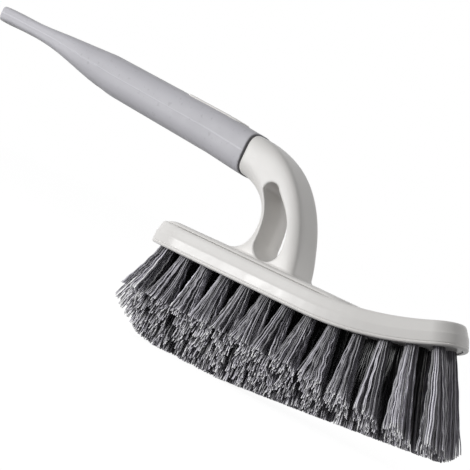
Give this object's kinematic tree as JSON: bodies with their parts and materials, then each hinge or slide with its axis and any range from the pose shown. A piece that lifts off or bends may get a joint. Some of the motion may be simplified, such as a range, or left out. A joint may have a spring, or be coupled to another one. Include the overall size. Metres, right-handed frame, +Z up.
{
  "type": "bathroom floor brush",
  "caption": "Bathroom floor brush with a long bristled block raised at the toe, an arched open neck and a soft rear grip with a hanging slot.",
  "frame": {"origin": "on the floor under the bristles, below the middle of the brush's length and width", "axes": "+X along the length from the handle's tail to the toe, +Y across the block, +Z up from the floor"},
  "size_m": [0.4048, 0.06, 0.1431],
  "materials": {
    "white_plastic": "moulded white plastic with a soft sheen",
    "grip_rubber": "soft matt grey rubber",
    "bristle": "stiff dark grey crimped filament",
    "steel": "plain steel screw"
  },
  "bodies": {
    "root": {"handle_frame": "white_plastic", "grip_sleeve": "grip_rubber", "grip_inlay": "white_plastic", "brush_block": "white_plastic", "bristles_heel": "bristle", "bristles_mid_heel": "bristle", "bristles_mid_toe": "bristle", "bristles_toe": "bristle", "base_screw_1": "steel", "base_screw_2": "steel", "base_screw_3": "steel", "base_screw_4": "steel"}
  },
  "joints": []
}
